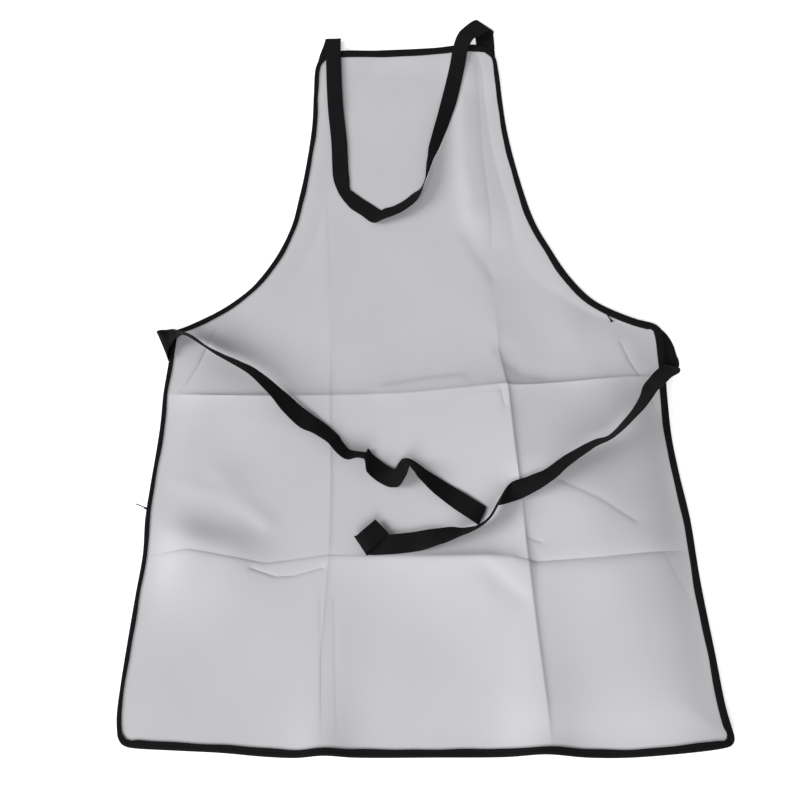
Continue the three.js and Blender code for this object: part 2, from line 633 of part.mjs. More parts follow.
// A strap laid through its rows, resting on what is under it.
function makeStrap(table) {
  const points = table.map((row) => new THREE.Vector3(row.x, row.y, row.lift));
  const curve = new THREE.CatmullRomCurve3(points, false, "centripetal");
  const steps = (table.length - 1) * STRAP_STEPS;
  const laid = [];
  for (let step = 0; step <= steps; step += 1) {
    const from = Math.min(Math.floor(step / STRAP_STEPS), table.length - 2);
    const blend = smooth(step / STRAP_STEPS - from, 0, 1);
    const nearest = table[blend < 0.5 ? from : from + 1];
    const middle = curve.getPoint(step / steps);
    const side = acrossLine(table[from]).lerp(acrossLine(table[from + 1]), blend).normalize();
    const lean = Math.sin(side.angleTo(curve.getTangent(step / steps)));
    const slant = THREE.MathUtils.lerp(table[from].slant ?? 1, table[from + 1].slant ?? 1, blend);
    side.multiplyScalar(((STRAP_WIDTH / 2) * slant) / Math.max(MOST_LEAN, lean));
    const needs = RESTS_AT.map((share) => {
      const below = nearest.under ? 0 : support(middle.x + share * side.x, middle.y + share * side.y);
      return below - share * side.z;
    });
    laid.push({ middle, side, rest: Math.max(...needs) });
  }
  laid.forEach(({ middle, rest }, step) => {
    const near = [step - 1, step + 1].map((at) => laid[at]?.rest ?? rest);
    middle.z = Math.max(0, middle.z) + WEBBING / 2 + Math.max(rest, ...near);
  });
  const sections = laid.map(({ middle, side }, step) => {
    const before = laid[Math.max(step - 1, 0)].middle;
    const after = laid[Math.min(step + 1, steps)].middle;
    const face = after.clone().sub(before).cross(side).setLength(WEBBING / 2);
    return STRAP_SECTION.map(([across, out]) =>
      middle.clone().addScaledVector(side, across).addScaledVector(face, out));
  });
  return loft(sections, STRAP_SECTION);
}

const apron = new THREE.Group();

function addPiece(name, geometry, finish) {
  const piece = new THREE.Mesh(geometry, new THREE.MeshStandardMaterial(finish));
  piece.name = name;
  geometry.computeVertexNormals();
  apron.add(piece);
}

addPiece("panel", makePanel(), GREY_CLOTH);
for (const [name, edge] of Object.entries(edges)) {
  addPiece(name, makeBinding(edge), BLACK_TAPE);
}
addPiece("neck_strap", makeStrap(NECK_STRAP), BLACK_TAPE);
addPiece("waist_tie_left", makeStrap(WAIST_TIE_LEFT), BLACK_TAPE);
addPiece("waist_tie_right", makeStrap(WAIST_TIE_RIGHT), BLACK_TAPE);

// The origin is on the table, under the middle of the apron's box.
const box = new THREE.Box3().setFromObject(apron);
const centre = box.getCenter(new THREE.Vector3());
apron.children.forEach((piece) => piece.position.set(-centre.x, -centre.y, -box.min.z));

export default apron;
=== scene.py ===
import bpy
import numpy as np
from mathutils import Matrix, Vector


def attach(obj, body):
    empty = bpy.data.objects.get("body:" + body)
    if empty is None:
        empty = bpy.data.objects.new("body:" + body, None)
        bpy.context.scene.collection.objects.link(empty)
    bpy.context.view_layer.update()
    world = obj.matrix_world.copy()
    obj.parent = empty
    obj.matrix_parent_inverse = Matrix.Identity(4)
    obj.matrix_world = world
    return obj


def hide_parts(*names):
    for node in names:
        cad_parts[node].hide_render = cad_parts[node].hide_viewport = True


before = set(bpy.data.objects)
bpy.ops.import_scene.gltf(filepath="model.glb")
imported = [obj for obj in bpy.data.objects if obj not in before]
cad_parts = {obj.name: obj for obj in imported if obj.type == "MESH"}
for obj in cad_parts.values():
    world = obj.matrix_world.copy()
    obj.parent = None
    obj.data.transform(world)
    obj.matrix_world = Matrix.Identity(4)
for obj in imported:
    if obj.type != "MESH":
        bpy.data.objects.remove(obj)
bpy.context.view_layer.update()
bpy.ops.object.select_all(action="DESELECT")


def table(columns, *rows):
    """Rows of numbers as named columns."""
    return dict(zip(columns.split(), np.array(rows, dtype=float).T))


# Sizes are in millimetres, as on a cutting table: x runs across the apron, y up it from the waist fold.
MM = 0.001
ORIGIN = np.array((19.1103, 110.2757, 0.0))  # the frame's origin, measured that way

CLOTH = 1.2  # thickness of the coated cloth
TAPE = 1.0  # thickness of one layer of binding tape
WEBBING = 1.2  # thickness of the straps
STRAP_WIDTH = 21
GAP = 0.4  # clear space between neighbouring pieces
MOST_LEAN = 0.7  # a line across a strap is stretched to at most 1 / this where it slants

EDGE_FLAT = 13  # the cloth lies level this far in from its edge
EDGE_RUN = 34  # then comes down from the tape's thickness to the floor over this length
EDGE_FADE = 30  # wrinkles die out over this length towards the edge
SEWN_RUN = 45  # the cloth comes down from a strap that is sewn on underneath over this length
LEVEL = 0.3  # relief lower than this lies flat on the floor

# The outer edge of the tape, anticlockwise: each edge starts where the one before it ends.
HEM = table(
    "x y",
    (-271.5, -365), (-267, -367.6), (-260, -369.2), (-218, -371.5), (-174, -373.5), (-130, -377),
    (-100, -378), (-74, -376), (-45, -377.7), (30, -377.7), (102, -377.2), (140, -374.8), (178, -377.6),
    (215, -378), (255, -375.6), (300, -371.2), (313, -369.2), (319.6, -367.4), (322.8, -364.6),
)
SIDE_RIGHT = table(
    "x y",
    (322.8, -364.6), (324.4, -360), (323.6, -352), (320.9, -332), (318.8, -282), (315, -207),
    (314, -142), (309.3, -91), (306.8, -50), (308.3, 0), (310.8, 40), (312.6, 66), (313, 91),
)
ARMHOLE_RIGHT = table(
    "x y",
    (313, 91), (306, 98), (283, 105.5), (257, 118), (233, 135), (208.2, 168.3), (188.4, 208.5),
    (172.5, 246.5), (157.5, 311.5), (144.5, 397.5), (138, 502), (135, 527.5), (127, 544),
)
TOP = table(
    "x y",
    (127, 544), (110, 551.5), (79, 551.3), (46, 547.3), (-27, 542.8), (-84, 540.3), (-104, 537.6),
    (-112, 530.5),
)
ARMHOLE_LEFT = table(
    "x y",
    (-112, 530.5), (-118.5, 509.5), (-119.5, 463), (-119.4, 403), (-125.5, 325), (-131.1, 283),
    (-137.6, 243), (-150.6, 204), (-167.5, 171), (-185.3, 146), (-219, 116.5), (-253, 96), (-272, 87.5),
)
SIDE_LEFT = table(
    "x y",
    (-272, 87.5), (-271.4, 49), (-272, 1), (-271.5, -41), (-274.4, -108.5), (-275.4, -142.5),
    (-273.3, -180.5), (-275.6, -225.5), (-278.8, -311), (-278.6, -340), (-276.6, -353),
    (-274.8, -360), (-271.5, -365),
)
# Each edge with the width of tape that shows at its start and at its end.
EDGES = {
    "binding_hem": (HEM, 7.5, 7.5),
    "binding_side_right": (SIDE_RIGHT, 8.5, 8.8),
    "binding_armhole_right": (ARMHOLE_RIGHT, 11, 6.2),
    "binding_top": (TOP, 13.5, 13.5),
    "binding_armhole_left": (ARMHOLE_LEFT, 6.4, 7),
    "binding_side_left": (SIDE_LEFT, 5.6, 4.6),
}

# The two folds down the length: the x of each at a place y.
LENGTH_FOLDS = table(
    "y left right",
    (-392, -76, 148), (-290, -81, 140), (-180, -75, 131.5), (-96, -76, 127), (5, -81, 123),
    (60, -83, 116), (160, -86, 114), (250, -92, 117), (360, -105, 110), (575, -125, 109),
)
# The two folds across: the y of each at a place x, the length over which the cloth above the waist
# fold comes down to the floor, and how far the skirt fold stands above the panels beside it.
CROSS_FOLDS = table(
    "x waist skirt run roll",
    (-295, 5, -184, 70, 1), (-222, 0, -177, 66, 1), (-142, 0, -191, 44, 1), (-75, 2, -182, 24, 1),
    (0, 3, -185, 22, 6), (90, 10, -186, 22, 8), (116, 12, -187, 22, 5), (141, 11, -192, 22, 0),
    (210, 17, -187, 40, 1), (305, 28, -176, 62, 1), (345, 32, -174, 66, 1),
)
# The height of the cloth where the folds cross and where they reach the edges, from left to right.
FOLD_HEIGHTS = table(
    "hem skirt waist",
    (1.7, 2.5, 7), (1.7, 6, 5), (1.7, 10, 6), (1.7, 2, 3),
)
# Where the hem is held up beside the folds, and the length over which that dies out along it.
HEM_LIFTS = table("x rise run", (-74, 5, 25), (139, 9, 32), (290, 7, 50))
HEM_FADE = 60  # and up the cloth
FOLDS_REACH = {"hem": -372, "left": -276, "right": 314}  # where the folds reach the edges
ROLL_RUN = {"above": 9, "below": 36}  # lengths over which the roll of the skirt fold dies out
BIB_FOLD = {"rise": 1.4, "run": 36, "from": 0, "to": 90}  # the low swelling along the folds in the bib
# The folds down the length have a sharp crest in the skirt, steep on its right, and a groove in the bib,
# steep on its left: the rise of each at a place y, and the rise of the broad shoulder of the right one.
LENGTH_CREASES = table(
    "y left right shoulder",
    (-392, 0.4, 1.6, 1), (-190, 0.7, 2.1, 5), (-120, 0.8, 2.2, 6.5), (0, 0.8, 2.2, 6.5), (60, 0.1, 0.4, 4.5),
    (150, -0.5, -1.7, 2), (250, -0.7, -2.2, 0), (575, -0.5, -2, 0),
)
CREST_REACH = {"before": 70, "after": 2.6}  # to the left and to the right of a crest
GROOVE_REACH = {"left": 4, "right": 10, "after": 60}  # to the left of each fold's groove, and to the right
SHOULDER_REACH = {"before": 190, "after": 46}
# The waist fold has a sharp crest and the skirt fold a narrow groove: the height of the one, the depth of
# the other and the groove's reach below it at a place x.
CROSS_CREASES = table(
    "x crest groove below",
    (-295, 1.5, 1.2, 1.8), (-222, 2.4, 1.4, 1.8), (-142, 2.2, 1.4, 1.8), (-75, 1, 1.2, 1.8),
    (0, 0.8, 1.2, 1.8), (90, 0.8, 1.4, 1.8), (141, 2.4, 2.2, 3), (210, 2.8, 3, 5), (305, 1.6, 2.4, 4),
    (345, 1.2, 2, 4),
)
WAIST_REACH = {"above": 3, "below": 10}
SKIRT_REACH = 8  # above it
# Where a strap is sewn on underneath, the edge is raised by its thickness.
SEWN_ENDS = table(
    "x y reach",
    (-103, 518, 30), (124, 523, 30), (-252, 58, 38), (298, 82, 34),
)
# Soft wrinkles along a line, with their reach to the left and to the right of it.
SOFT_WRINKLES = (
    {"line": ((-224, -170), (-186, -178)), "rise": 8, "reach": (24, 62)},
    {"line": ((-254, -160), (-224, -168)), "rise": 2.6, "reach": (22, 44)},
    {"line": ((-252, -99), (-195, -117), (-143, -147)), "rise": 0.8, "reach": (9, 7)},
    {"line": ((-203, -90), (-143, -147)), "rise": 0.7, "reach": (10, 7)},
    {"line": ((162, -84), (190, -67), (240, -34)), "rise": 7, "reach": (27, 90)},
    {"line": ((165, -106), (212, -128), (262, -158)), "rise": 2.5, "reach": (50, 36)},
    {"line": ((162, -60), (164, -190), (178, -290)), "rise": 6, "reach": (80, 110)},
    {"line": ((240, -215), (248, -285)), "rise": 4.5, "reach": (90, 50)},
    {"line": ((206, -60), (226, -165)), "rise": 7, "reach": (110, 66)},
    {"line": ((225, 75), (235, 35)), "rise": 4, "reach": (120, 40)},
    {"line": ((87, 520), (88, 345), (96, 275)), "rise": 4.2, "reach": (80, 17)},
    {"line": ((-262, 2), (-215, -2), (-165, -2)), "rise": 2.4, "reach": (58, 70)},
    {"line": ((-16, 12), (23, 19), (66, 24)), "rise": 1.1, "reach": (4.5, 14)},
    {"line": ((90, -199), (105, -213), (122, -227)), "rise": -1.3, "reach": (9, 12)},
    {"line": ((-200, -50), (-170, -70)), "rise": -1.8, "reach": (34, 34)},
    {"line": ((86, 226), (99, 200), (113, 174)), "rise": -1.3, "reach": (26, 9)},
    {"line": ((119, 62), (125, 46), (139, 31), (165, 25)), "rise": -1.2, "reach": (16, 8)},
)
# Sharp ones have a narrow crease, steep on its right.
SHARP_WRINKLES = (
    {"line": ((-155, -197), (-130, -205), (-111, -204), (-82, -196)), "rise": -1.2, "reach": 1.5},
    {"line": ((-218, 98), (-227, 70), (-235, 42), (-245, 17), (-251, 8)), "rise": -1.3, "reach": 1.5},
    {"line": ((261, 70), (268, 46), (276, 29)), "rise": -1, "reach": 1.6},
    {"line": ((288, -4), (297, -29)), "rise": -0.7, "reach": 1.8},
    {"line": ((-82, -228), (-79, -297), (-77, -362)), "rise": -0.25, "reach": 1.6},
    {"line": ((-68, -228), (-65, -297), (-61, -362)), "rise": -0.25, "reach": 1.6},
    {"line": ((171, -106), (211, -124), (249, -148)), "rise": -1, "reach": 2.4},
    {"line": ((280, -184), (290, -205), (303, -232)), "rise": -0.5, "reach": 2.4},
    {"line": ((135, -168), (147, -172)), "rise": -0.8, "reach": 1.8},
    {"line": ((115, 4), (118, -14)), "rise": -0.9, "reach": 3},
)
SHARP_LEAN = 4  # how much further a crease reaches to its left than to its right
# Gentle waves over the raised part of the cloth, in radians to the millimetre across and up.
RIPPLES = table(
    "across up turn rise",
    (0.021, 0.013, 0.4, 0.35), (-0.017, 0.027, 1.9, 0.3), (0.043, -0.011, 2.7, 0.16),
    (0.012, 0.052, 4.1, 0.14),
)

# The straps, row by row: the middle line's place, how far it is lifted off what it lies on, the
# direction and tilt of the line across it in degrees, how far that line is drawn out where the strap
# folds at a slant, and 1 where the strap is under the cloth.
STRAP_COLUMNS = "x y lift across tilt slant under"
NECK_STRAP = table(
    STRAP_COLUMNS,
    (-108, 500, 0, -8, 0, 1, 1),
    (-104, 532, 0.2, -8, 0, 1, 1),
    (-98.5, 553, 0.6, -4, 0, 1, 1),
    (-95.5, 562, 4.4, 2, 0, 1, 0),
    (-95, 555, 7.6, 2, 0, 1, 0),
    (-94.5, 538, 1.2, 0, 0, 1, 0),
    (-93.5, 515, 1.5, 0, 0, 1, 0),
    (-88.5, 437, 0.6, 0, 0, 1, 0),
    (-81.5, 375, 0.4, 0, 0, 1, 0),
    (-77.5, 318, 0.4, -5, 0, 1, 0),
    (-73, 297.5, 0.6, 20, 0, 0.78, 0),
    (-70.5, 291.8, 0.8, 38, 0, 0.74, 0),
    (-66.4, 286.7, 0.6, 55, 0, 0.86, 0),
    (-57, 276.8, 0.4, 56, 0, 1, 0),
    (-43.1, 266.2, 0.4, 54, 0, 1, 0),
    (-31.2, 256.3, 0.4, 54, 0, 1.04, 0),
    (-27.3, 254.9, 0.4, 62, -4, 1, 0),
    (-21.8, 256.4, 0.4, 76, -16, 0.98, 0),
    (-5, 262.6, 0.4, 104, -27, 1, 0),
    (17.5, 280.4, 0.4, 116, -30, 0.86, 0),
    (30.3, 300.6, 0.4, 102, -62, 0.62, 0),
    (39.2, 340, 0.4, 54, -50, 0.72, 0),
    (46.3, 366, 0.4, 32, -37, 0.85, 0),
    (57.8, 407, 0.4, 16, -26, 0.92, 0),
    (68.2, 448.5, 0.4, 4, -12, 1, 0),
    (80.8, 510, 1, -2, 0, 1, 0),
    (85.3, 538, 3, -8, 0, 1, 0),
    (92.8, 557.8, 7, -30, 0, 1.1, 0),
    (105, 572.5, 10, -44, 0, 1.3, 0),
    (119, 584, 9, -44, 0, 1.35, 0),
    (123, 587, 5.2, -44, 0, 1.32, 0),
    (122, 579.5, 1.2, -38, 0, 1.3, 1),
    (121.8, 561, 0.4, -12, 0, 1.25, 1),
    (123.5, 540, 0.1, 0, 0, 1.1, 1),
    (125, 504, 0, 0, 0, 1, 1),
)
WAIST_TIE_LEFT = table(
    STRAP_COLUMNS,
    (-235, 41, 0, -121, 0, 1, 1),
    (-256, 53.5, 0.2, -116, 0, 1, 1),
    (-271, 61.5, 0.4, -90, 0, 1.1, 1),
    (-279.5, 66, 3.5, -64, 0, 1.2, 0),
    (-277, 72.5, 6.5, -50, -8, 1.14, 0),
    (-267.5, 78, 3, -54, 26, 1, 0),
    (-251, 76.5, 2.5, -80, 58, 1, 0),
    (-226.5, 58.8, 5, -80, 64, 1, 0),
    (-206.6, 46, 7, -85, 58, 1, 0),
    (-187.5, 36, 8, -97, 54, 1, 0),
    (-169.5, 26, 8, -106, 49, 1, 0),
    (-143.6, 3, 6, -113, 39, 1, 0),
    (-125, -16, 3, -120, 20, 1, 0),
    (-107.5, -30.5, 1, -114, 6, 1, 0),
    (-91.5, -40.5, 0.6, -110, 26, 1, 0),
    (-74.5, -54, 0.4, -112, 36, 1, 0),
    (-65.5, -66, 0.4, -106, 40, 1, 0),
    (-56.5, -73.5, 0.4, -98, 42, 1, 0),
    (-46, -73.6, 0.4, -90, 54, 1, 0),
    (-38, -75.6, 0.4, -90, 53, 1, 0),
    (-34.8, -80.5, 0.6, -93, 14, 1, 0),
    (-28, -86.5, 0.6, -98, 4, 1, 0),
    (-16, -95, 0.4, -102, 0, 1, 0),
    (-5, -99.5, 0.8, -93, 6, 1, 0),
    (3, -91, 1.5, -76, 30, 1, 0),
    (8, -83.5, 2, -72, 48, 1, 0),
    (15, -87.5, 1.5, -98, 48, 1, 0),
    (24, -96.5, 0.6, -108, 40, 1, 0),
    (42.6, -111.8, 0.4, -115, 22, 1, 0),
    (66.5, -129, 0.4, -119, 4, 1, 0),
    (87.5, -143.8, 0.4, -113, 0, 1, 0),
)
WAIST_TIE_RIGHT = table(
    STRAP_COLUMNS,
    (290, 86.5, 0, 60, 0, 1, 1),
    (308, 82.6, 0, 40, 0, 1, 1),
    (315.2, 68.3, 0, 12, 0, 1, 1),
    (317, 55, 0.2, 4, 0, 1, 1),
    (320.3, 45, 0.6, 0, 0, 0.8, 1),
    (318.6, 38.2, 3, -12, 0, 0.58, 0),
    (313.8, 33, 4.5, -32, 10, 0.92, 0),
    (302.2, 24.2, 6, -42, 30, 1, 0),
    (289, 9.8, 12, -50, 36, 1, 0),
    (278.5, -1.5, 15, -66, 42, 1, 0),
    (266, -21.5, 16, -82, 51, 1, 0),
    (249, -41.7, 14, -96, 56, 1, 0),
    (225, -64, 12.5, -106, 60, 1, 0),
    (209.8, -69.8, 11, -100, 54, 1, 0),
    (193.7, -78.8, 8, -90, 50, 1, 0),
    (175.3, -90.3, 5, -80, 46, 1, 0),
    (158.8, -103.2, 2.5, -75, 40, 1, 0),
    (140.8, -112.2, 1.2, -74, 24, 1, 0),
    (125, -118, 0.4, -82, 4, 1, 0),
    (110.5, -124, 1, -118, 14, 1, 0),
    (103.5, -133, 2.6, -104, 69, 1, 0),
    (93.5, -149, 3, -100, 73, 1, 0),
    (81, -158, 2, -100, 69, 1, 0),
    (67.5, -161.8, 0.6, -106, 57, 1, 0),
    (46.5, -165, 0.4, -102, 28, 1, 0),
    (20, -169.5, 0.4, -99, 2, 1, 0),
    (-8, -172.5, 0.4, -95, 0, 1, 0),
    (-35, -173.5, 0.6, -62, 0, 1, 0),
    (-41.5, -174, 3, -56, 0, 1, 0),
    (-36.5, -169.5, 5.6, -54, 0, 1, 0),
    (-19, -153.5, 4.4, -47, 0, 1, 0),
)

LINE_STEPS = 12  # steps between two rows of a table
TAPE_STEP = 3.5  # length of one step along the tape
MITRE_RUN = 16  # the lines across a tape turn into the mitre at its end over this length
FOLD_DENSITY = 0.75  # how much closer the cloth's grid lines are at a fold
STITCH = 3.2  # from one stitch to the next
STITCH_RADIUS = 0.3
STITCH_SHARE = 0.42  # half of a stitch's length, as a share of the step to the next
STITCH_INSET = 1.9  # from the inner edge of the tape
STITCHES_LEFT_OFF = 4  # at each corner
# Loose ends of thread: the thickness of each, and x, y and the height over the cloth's underside along it.
LOOSE_THREADS = {
    "thread_side_left": (
        1.2, ((-272, -131.6, 2), (-276, -130, 2), (-281.4, -127.8, 1.6), (-287.2, -125.4, 1)),
    ),
    "thread_side_left_root": (2.4, ((-274.5, -131, 1.6), (-277.3, -129.8, 1.6))),
    "thread_armhole_right": (
        1.1, ((248.6, 113, 2), (250.2, 109.6, 2.2), (252, 105.8, 2), (253.8, 102, 2)),
    ),
    "thread_armhole_right_knot": (2.8, ((253.4, 102.6, 2.4), (254.4, 100.4, 2.4))),
}
SAME_PLACE = 0.001  # a place nearer to a line than this counts as this far from it
RIPPLED = (0.5, 4)  # the ripples grow between these heights of the cloth


def ease(value, low, high):
    """0 below low, 1 above high and smooth between them."""
    share = np.clip((value - low) / (high - low), 0, 1)
    return share * share * (3 - 2 * share)


def unit(vectors):
    return vectors / np.linalg.norm(vectors, axis=-1, keepdims=True)


def smooth_line(points):
    """A smooth line through points, with LINE_STEPS from each to the next."""
    ends = np.vstack((2 * points[0] - points[1], points, 2 * points[-1] - points[-2]))
    share = np.linspace(0, 1, LINE_STEPS, endpoint=False)[:, None]
    spans = []
    for a, b, c, d in zip(ends, ends[1:], ends[2:], ends[3:]):
        before, here, after = np.sqrt([np.linalg.norm(b - a), np.linalg.norm(c - b), np.linalg.norm(d - c)])
        leave = here * ((b - a) / before - (c - a) / (before + here) + (c - b) / here)
        arrive = here * ((c - b) / here - (d - b) / (here + after) + (d - c) / after)
        bend = share**2 * (3 * (c - b) - 2 * leave - arrive)
        spans.append(b + share * leave + bend + share**3 * (2 * (b - c) + leave + arrive))
    return np.vstack((*spans, points[-1:]))


def length_along(line):
    steps = np.linalg.norm(np.diff(line, axis=0), axis=1)
    return np.concatenate(([0], np.cumsum(steps)))


def evenly(line, spacing):
    """The same line with its points at an even spacing."""
    run = length_along(line)
    places = np.linspace(0, run[-1], round(run[-1] / spacing) + 1)
    return np.stack([np.interp(places, run, axis) for axis in line.T], axis=1)


edge_lines = {
    name: evenly(smooth_line(np.stack((rows["x"], rows["y"]), axis=1)), TAPE_STEP)
    for name, (rows, _, _) in EDGES.items()
}
edge_order = list(edge_lines)


def neighbours(name):
    """The edges before and after one."""
    at = edge_order.index(name)
    return edge_order[at - 1], edge_order[(at + 1) % len(edge_order)]


def directions(line):
    """At each point of a line, the direction along it and the one to its left."""
    along = unit(np.gradient(line, axis=0))
    return along, np.stack((-along[:, 1], along[:, 0]), axis=1)


def corner_line(before, after):
    """The line across two tapes where they meet, pointing into the cloth, long enough to be 1 deep."""
    back = unit(before[-2] - before[-1])
    ahead = unit(after[1] - after[0])
    line = unit(back + ahead)
    return line / abs(line[0] * ahead[1] - line[1] * ahead[0])


def nearness(run):
    """How much of a tape at each length along it belongs to neither end, its start and its end."""
    from_start = np.clip(1 - run / MITRE_RUN, 0, 1)
    from_end = np.clip(1 - (run[-1] - run) / MITRE_RUN, 0, 1)
    return np.stack((1 - from_start - from_end, from_start, from_end))


def inward_lines(name):
    """At each point of an edge, the line that leads 1 into the cloth."""
    line = edge_lines[name]
    before, after = (edge_lines[other] for other in neighbours(name))
    _, inward = directions(line)
    square, from_start, from_end = nearness(length_along(line))[:, :, None]
    return square * inward + from_start * corner_line(before, line) + from_end * corner_line(line, after)


outline = np.vstack([line[:-1] for line in edge_lines.values()])
outline_tape = np.concatenate(
    [np.linspace(start, end, len(edge_lines[name]))[:-1] for name, (_, start, end) in EDGES.items()]
)


def off_segment(start, end, x, y):
    """The distance of places from a straight piece of line."""
    (ax, ay), (bx, by) = start, end
    run = ((x - ax) * (bx - ax) + (y - ay) * (by - ay)) / ((bx - ax) ** 2 + (by - ay) ** 2)
    run = np.clip(run, 0, 1)
    return np.hypot(x - ax - run * (bx - ax), y - ay - run * (by - ay))


def inset_of(x, y):
    """How far places are inside the outer edge, or below 0 outside it, and the nearest tape's width."""
    nearest = np.full(x.shape, np.inf)
    tape = np.zeros(x.shape)
    inside = np.zeros(x.shape, dtype=bool)
    for (ax, ay), (bx, by), width in zip(outline, np.roll(outline, -1, axis=0), outline_tape):
        away = off_segment((ax, ay), (bx, by), x, y)
        tape = np.where(away < nearest, width, tape)
        nearest = np.minimum(nearest, away)
        if ay != by:
            inside ^= ((ay > y) != (by > y)) & (x < ax + (y - ay) / (by - ay) * (bx - ax))
    return np.where(inside, nearest, -nearest), tape


def beside(line, x, y):
    """The distance of places from a line of points, and their side of it, from -1 right to 1 left."""
    nearest = np.full(x.shape, np.inf)
    side = np.zeros(x.shape)
    for (ax, ay), (bx, by) in zip(line, line[1:]):
        away = off_segment((ax, ay), (bx, by), x, y)
        length = np.hypot(bx - ax, by - ay)
        left = ((bx - ax) * (y - ay) - (by - ay) * (x - ax)) / (length * np.maximum(away, SAME_PLACE))
        side = np.where(away < nearest, left, side)
        nearest = np.minimum(nearest, away)
    return nearest, side


def at_folds(x, y):
    """The places of the four folds at x and y."""
    left, right = (np.interp(y, LENGTH_FOLDS["y"], LENGTH_FOLDS[name]) for name in ("left", "right"))
    waist, skirt = (np.interp(x, CROSS_FOLDS["x"], CROSS_FOLDS[name]) for name in ("waist", "skirt"))
    return left, right, waist, skirt


def between(value, low, high):
    return np.clip((value - low) / (high - low), 0, 1)


def dies_out(distance, before, after):
    """1 at a line, dying out over one length before it and over another after it."""
    return np.exp(-np.abs(distance) / np.where(distance > 0, after, before))


def panel_level(x, y):
    """The height of the cloth as flat panels between its folds."""
    left, right, waist, skirt = at_folds(x, y)
    third = between(x, FOLDS_REACH["left"], left) + between(x, left, right)
    third = third + between(x, right, FOLDS_REACH["right"])
    hem, middle, top = (np.interp(third, np.arange(4), heights) for heights in FOLD_HEIGHTS.values())
    level = hem + (middle - hem) * between(y, FOLDS_REACH["hem"], skirt)
    level = level + (top - middle) * between(y, skirt, waist)
    run = np.interp(x, CROSS_FOLDS["x"], CROSS_FOLDS["run"])
    level = level * np.exp(-np.maximum(0, y - waist) / run)
    lift = sum(rise * np.exp(-(((x - at) / along) ** 2)) for at, rise, along in zip(*HEM_LIFTS.values()))
    return level + lift * np.exp(-np.maximum(0, y - FOLDS_REACH["hem"]) / HEM_FADE)


def wrinkle_rise(x, y):
    """The rise of rounded folds and wrinkles over the flat panels."""
    left, right, _, skirt = at_folds(x, y)
    roll = np.interp(x, CROSS_FOLDS["x"], CROSS_FOLDS["roll"])
    rise = roll * dies_out(y - skirt, ROLL_RUN["below"], ROLL_RUN["above"])
    nearest = np.minimum(np.abs(x - left), np.abs(x - right))
    swelling = BIB_FOLD["rise"] * np.exp(-nearest / BIB_FOLD["run"])
    rise = rise + swelling * ease(y, BIB_FOLD["from"], BIB_FOLD["to"])
    for wrinkle in SOFT_WRINKLES:
        away, side = beside(wrinkle["line"], x, y)
        left_reach, right_reach = wrinkle["reach"]
        reach = right_reach + (left_reach - right_reach) * (1 + side) / 2
        rise = rise + wrinkle["rise"] * np.exp(-((away / reach) ** 2))
    return rise


def crease_rise(x, y):
    """The rise of the narrow creases."""
    left, right, waist, skirt = at_folds(x, y)
    rise = np.zeros(x.shape)
    for name, fold in (("left", left), ("right", right)):
        height = np.interp(y, LENGTH_CREASES["y"], LENGTH_CREASES[name])
        crest = dies_out(x - fold, CREST_REACH["before"], CREST_REACH["after"])
        groove = dies_out(x - fold, GROOVE_REACH[name], GROOVE_REACH["after"])
        rise += height * np.where(height > 0, crest, groove)
    shoulder = np.interp(y, LENGTH_CREASES["y"], LENGTH_CREASES["shoulder"])
    rise += shoulder * dies_out(x - right, SHOULDER_REACH["before"], SHOULDER_REACH["after"])
    crest, groove, below = (
        np.interp(x, CROSS_CREASES["x"], CROSS_CREASES[name]) for name in ("crest", "groove", "below")
    )
    rise += crest * dies_out(y - waist, WAIST_REACH["below"], WAIST_REACH["above"])
    rise -= groove * dies_out(y - skirt, below, SKIRT_REACH)
    for wrinkle in SHARP_WRINKLES:
        away, side = beside(wrinkle["line"], x, y)
        reach = wrinkle["reach"] * (1 + (SHARP_LEAN - 1) * (1 + side) / 2)
        rise += wrinkle["rise"] * np.exp(-away / reach)
    return rise


def cloth_underside(x, y):
    """The height of the cloth's underside over the floor."""
    inset = np.maximum(0, inset_of(x, y)[0])
    edge = (TAPE + GAP) * (1 - ease(inset, EDGE_FLAT, EDGE_FLAT + EDGE_RUN))
    sewn = np.zeros(x.shape)
    for end_x, end_y, reach in zip(*SEWN_ENDS.values()):
        sewn = np.maximum(sewn, 1 - ease(np.hypot(x - end_x, y - end_y), reach, reach + SEWN_RUN))
    level = panel_level(x, y)
    ripples = sum(
        rise * np.sin(x * across + y * up + turn) for across, up, turn, rise in zip(*RIPPLES.values())
    )
    loose = wrinkle_rise(x, y) + crease_rise(x, y) + ripples * ease(level, *RIPPLED)
    free = 1 - np.exp(-((inset / EDGE_FADE) ** 2))
    return np.maximum(edge, level + loose * free - LEVEL) + sewn * (WEBBING + GAP)


def edge_underside(x, y):
    """The height of the cloth's underside at its edge, with room for the tape under it."""
    return np.maximum(TAPE + GAP, cloth_underside(x, y))


def read_points(mesh):
    spots = np.empty(len(mesh.vertices) * 3)
    mesh.vertices.foreach_get("co", spots)
    return spots.reshape(-1, 3)


def place_points(mesh, points):
    """Puts a mesh's points at places on the cutting table."""
    mesh.vertices.foreach_set("co", ((points - ORIGIN) * MM).ravel())


def lay_grid(name, points, flat):
    """A grid of cloth with its points in rows, and with its flat sizes as its UV map."""
    rows, columns = points.shape[:2]
    bpy.ops.mesh.primitive_grid_add(x_subdivisions=columns - 1, y_subdivisions=rows - 1, size=1)
    piece = bpy.context.object
    piece.name = piece.data.name = name
    mesh = piece.data
    share = read_points(mesh) + 0.5  # the grid reaches half its size to each side
    column = np.rint(share[:, 0] * (columns - 1)).astype(int)
    row = np.rint(share[:, 1] * (rows - 1)).astype(int)
    place_points(mesh, points[row, column])
    corners = np.empty(len(mesh.loops), dtype=np.int32)
    mesh.loops.foreach_get("vertex_index", corners)
    mesh.uv_layers.active.data.foreach_set("uv", (flat[row, column][corners] * MM).ravel())
    mesh.update()
    return piece


